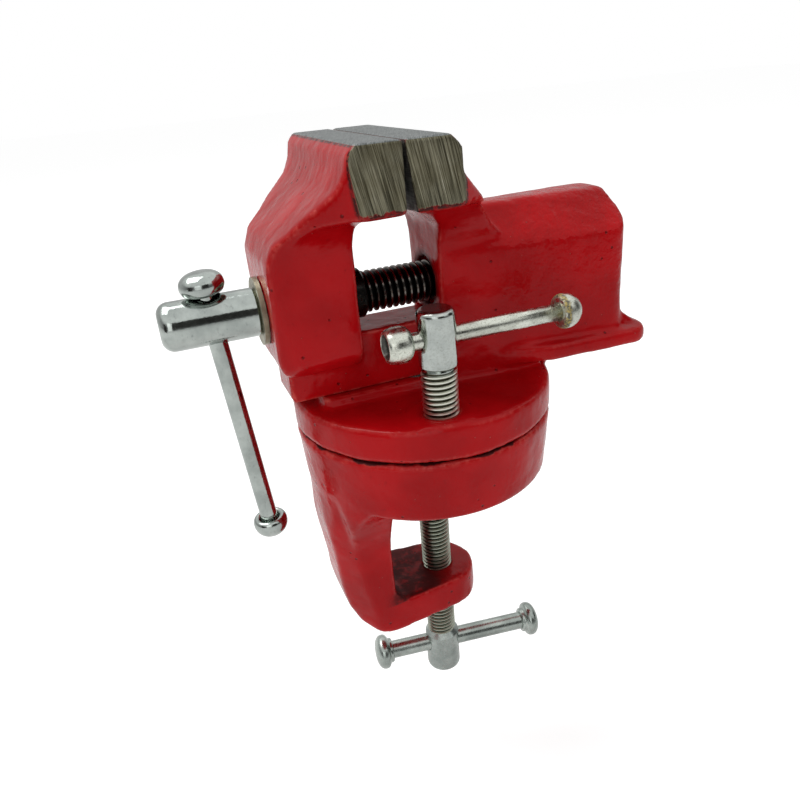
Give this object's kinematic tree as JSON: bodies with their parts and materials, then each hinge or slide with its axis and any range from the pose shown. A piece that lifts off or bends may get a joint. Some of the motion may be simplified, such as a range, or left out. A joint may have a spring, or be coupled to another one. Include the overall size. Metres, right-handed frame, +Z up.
{
  "type": "bench vise",
  "caption": "Small clamp-on swivel bench vise with an anvil, a table clamp, a lock screw for the swivel and sliding T-bars on its screws.",
  "frame": {"origin": "on the swivel axis, in the plane where the lower disc sits on the table", "axes": "+Z up along the swivel axis; +X along the spindle from the moving jaw to the anvil; +Y away from the lock screw's side"},
  "size_m": [0.1438, 0.079, 0.1902],
  "materials": {
    "red_enamel": "glossy enamel over rough cast iron, bare ground iron on the jaw tops and ends",
    "black_steel": "black oxide, lightly oiled",
    "zinc_steel": "turned and zinc plated",
    "chrome_steel": "bright plated"
  },
  "bodies": {
    "base": {"clamp_base": "red_enamel", "pivot_bolt": "zinc_steel", "pivot_washer": "zinc_steel"},
    "vise_body": {"fixed_body": "red_enamel", "spindle_nut": "black_steel"},
    "jaw": {"moving_jaw": "red_enamel"},
    "spindle": {"spindle_screw": "black_steel", "spindle_head": "zinc_steel", "thrust_washer": "zinc_steel", "retaining_collar": "black_steel", "collar_pin": "black_steel"},
    "spindle_handle": {"spindle_bar": "chrome_steel", "spindle_knob_top": "chrome_steel", "spindle_knob_low": "chrome_steel"},
    "lock_foot": {"lock_pad": "zinc_steel"},
    "lock": {"lock_screw": "zinc_steel"},
    "lock_handle": {"lock_bar": "chrome_steel", "lock_knob_near": "chrome_steel", "lock_knob_far": "chrome_steel"},
    "clamp_foot": {"clamp_pad": "zinc_steel"},
    "clamp": {"clamp_screw": "zinc_steel"},
    "clamp_handle": {"clamp_bar": "chrome_steel", "clamp_knob_left": "chrome_steel", "clamp_knob_right": "chrome_steel"}
  },
  "joints": [
    {"name": "swivel", "type": "hinge", "parent": "base", "child": "vise_body", "pos_m": [0, 0, 0.0192], "axis": [0, 0, 1], "continuous": true},
    {"name": "jaw_slide", "type": "slide", "parent": "vise_body", "child": "jaw", "axis": [-1, 0, 0], "range_m": [0, 0.042]},
    {"name": "spindle_turn", "type": "hinge", "parent": "jaw", "child": "spindle", "pos_m": [-0.0341, 0, 0.0583], "axis": [-1, 0, 0], "range_deg": [0, 7563]},
    {"name": "spindle_bar_slide", "type": "slide", "parent": "spindle", "child": "spindle_handle", "axis": [-0.0854, 0, 0.9963], "range_m": [0, 0.0576]},
    {"name": "lock_pad_slide", "type": "slide", "parent": "vise_body", "child": "lock_foot", "axis": [0, 0, 1], "range_m": [-0.00071, 0]},
    {"name": "lock_turn", "type": "hinge", "parent": "lock_foot", "child": "lock", "pos_m": [-0.0058, -0.02959, 0.032], "axis": [0, 0, 1], "range_deg": [-170, 0]},
    {"name": "lock_bar_slide", "type": "slide", "parent": "lock", "child": "lock_handle", "axis": [-0.9999, 0.0105, 0], "range_m": [0, 0.0302]},
    {"name": "clamp_pad_slide", "type": "slide", "parent": "base", "child": "clamp_foot", "axis": [0, 0, 1], "range_m": [-0.02801, 0.00751]},
    {"name": "clamp_turn", "type": "hinge", "parent": "clamp_foot", "child": "clamp", "pos_m": [0.0013, 0, -0.05], "axis": [0, 0, 1], "range_deg": [-6720, 1800]},
    {"name": "clamp_bar_slide", "type": "slide", "parent": "clamp", "child": "clamp_handle", "axis": [-0.9893, 0.1461, 0], "range_m": [-0.0118, 0.024]}
  ],
  "couplings": [
    {"joint": "spindle_turn", "follows": "jaw_slide", "rad_per_m": 3141.6},
    {"joint": "lock_pad_slide", "follows": "lock_turn", "m_per_rad": 0.00023873},
    {"joint": "clamp_pad_slide", "follows": "clamp_turn", "m_per_rad": 0.00023873}
  ]
}
